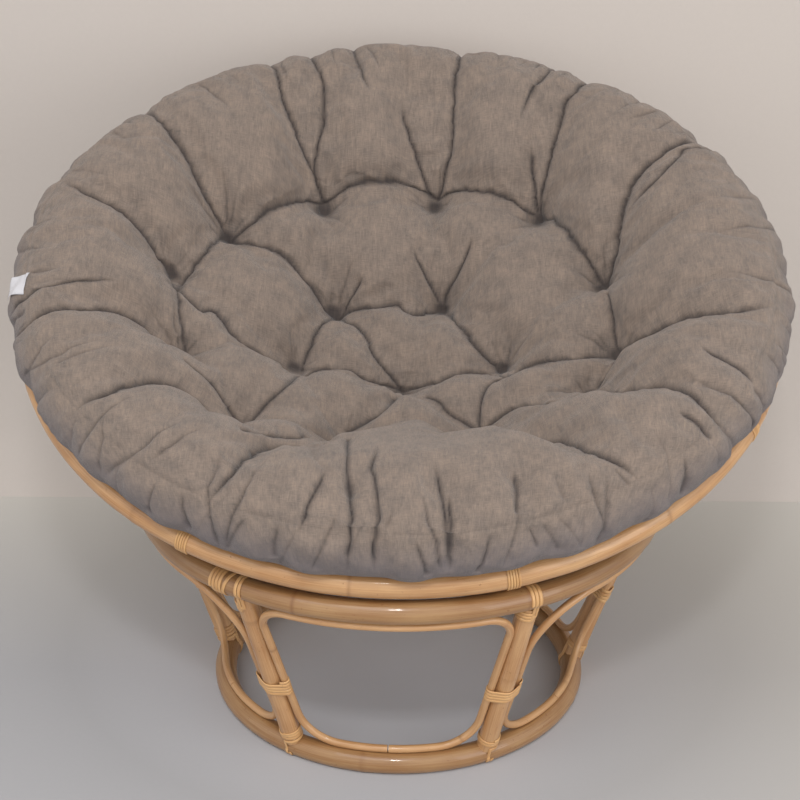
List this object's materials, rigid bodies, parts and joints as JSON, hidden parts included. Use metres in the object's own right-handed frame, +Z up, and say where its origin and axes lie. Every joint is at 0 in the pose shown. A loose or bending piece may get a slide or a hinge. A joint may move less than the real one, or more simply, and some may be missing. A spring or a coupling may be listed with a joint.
{
  "type": "papasan chair",
  "caption": "Round rattan papasan chair: a thick tufted cushion lies in a shallow bowl of bent poles, tilted on a flared ring base with peel-wound joints.",
  "frame": {"origin": "on the floor, under the middle of the chair's box in plan", "axes": "+Z up, -Y towards the front of the chair, +X to the right as seen from the front"},
  "size_m": [1.105, 1.0316, 0.8461],
  "materials": {
    "cane": "clear-lacquered rattan pole",
    "thin_cane": "clear-lacquered thin rattan pole",
    "peel": "clear-lacquered rattan peel",
    "cloth": "heathered grey-taupe woven cloth",
    "tag_cloth": "plain white satin tape"
  },
  "bodies": {
    "base": {"floor_ring": "cane", "seat_ring": "cane", "post_1": "cane", "window_loop_1": "thin_cane", "top_binding_1": "peel", "waist_binding_1": "peel", "foot_binding_1": "peel", "post_2": "cane", "window_loop_2": "thin_cane", "top_binding_2": "peel", "waist_binding_2": "peel", "foot_binding_2": "peel", "post_3": "cane", "window_loop_3": "thin_cane", "top_binding_3": "peel", "waist_binding_3": "peel", "foot_binding_3": "peel", "post_4": "cane", "window_loop_4": "thin_cane", "top_binding_4": "peel", "waist_binding_4": "peel", "foot_binding_4": "peel", "post_5": "cane", "window_loop_5": "thin_cane", "top_binding_5": "peel", "waist_binding_5": "peel", "foot_binding_5": "peel", "post_6": "cane", "window_loop_6": "thin_cane", "top_binding_6": "peel", "waist_binding_6": "peel", "foot_binding_6": "peel"},
    "bowl": {"bowl_rim": "cane", "bowl_lower_ring": "cane", "bowl_rib_1": "cane", "rim_binding_1": "peel", "rib_foot_binding_1": "peel", "bowl_rib_2": "cane", "rim_binding_2": "peel", "rib_foot_binding_2": "peel", "bowl_rib_3": "cane", "rim_binding_3": "peel", "rib_foot_binding_3": "peel", "bowl_rib_4": "cane", "rim_binding_4": "peel", "rib_foot_binding_4": "peel", "bowl_rib_5": "cane", "rim_binding_5": "peel", "rib_foot_binding_5": "peel", "bowl_rib_6": "cane", "rim_binding_6": "peel", "rib_foot_binding_6": "peel", "bowl_rib_7": "cane", "rim_binding_7": "peel", "rib_foot_binding_7": "peel", "bowl_rib_8": "cane", "rim_binding_8": "peel", "rib_foot_binding_8": "peel"},
    "cushion": {"cushion": "cloth", "care_tag": "tag_cloth"}
  },
  "joints": [
    {"name": "bowl_tilt", "type": "hinge", "parent": "base", "child": "bowl", "pos_m": [0, -0.11479, 0.85337], "axis": [1, 0, 0], "range_deg": [-23.1, 1.2]},
    {"name": "cushion_lift", "type": "slide", "parent": "bowl", "child": "cushion", "axis": [0, -0.3926, 0.9197], "range_m": [0, 0.25]}
  ]
}
